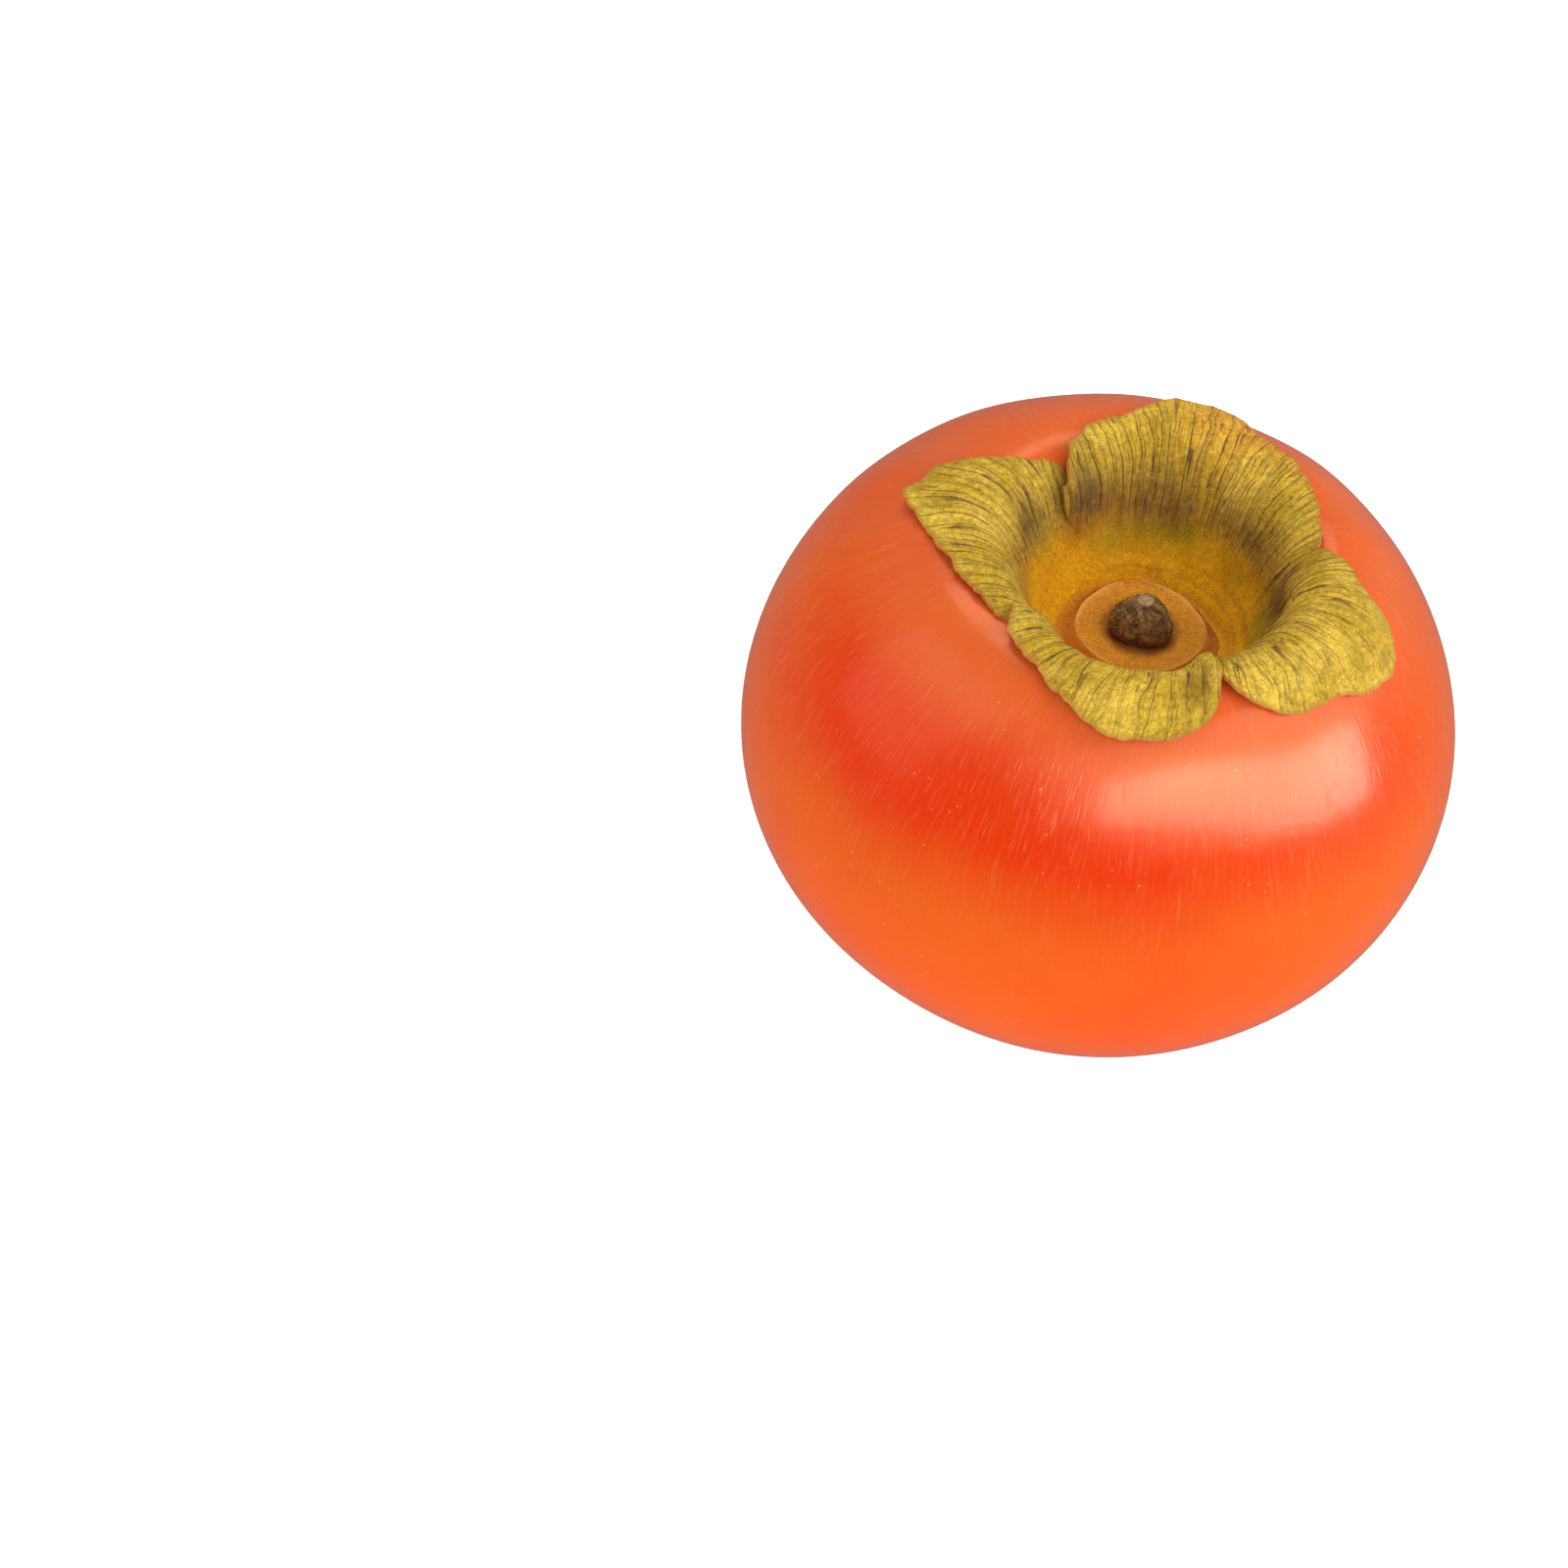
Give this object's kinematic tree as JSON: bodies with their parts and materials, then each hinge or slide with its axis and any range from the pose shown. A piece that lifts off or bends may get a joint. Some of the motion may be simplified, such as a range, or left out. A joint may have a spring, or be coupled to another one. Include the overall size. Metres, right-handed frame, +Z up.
{
  "type": "persimmon",
  "caption": "Ripe orange kaki persimmon with its dry, lobed calyx and a short woody stem stub, standing on its base.",
  "frame": {"origin": "on the table under the middle of the fruit, at the centre of the flat ring that it stands on", "axes": "+Z up along the fruit's core towards the calyx, +X to the side that the calyx leans to, -Y towards the viewer"},
  "size_m": [0.076, 0.076, 0.0585],
  "materials": {
    "skin": "smooth waxy fruit skin, semi-gloss, orange red with fine pale streaks",
    "sepal": "dry leathery leaf, matt and velvety, yellow green with dark veins",
    "calyx_centre": "felted dry calyx tissue, matt golden brown",
    "stem_bark": "rough dry bark, matt dark brown"
  },
  "bodies": {
    "root": {"fruit": "skin", "calyx_disc": "calyx_centre", "sepal_back": "sepal", "sepal_right": "sepal", "sepal_front": "sepal", "sepal_left": "sepal", "stem_stub": "stem_bark", "style_tip": "stem_bark"}
  },
  "joints": []
}
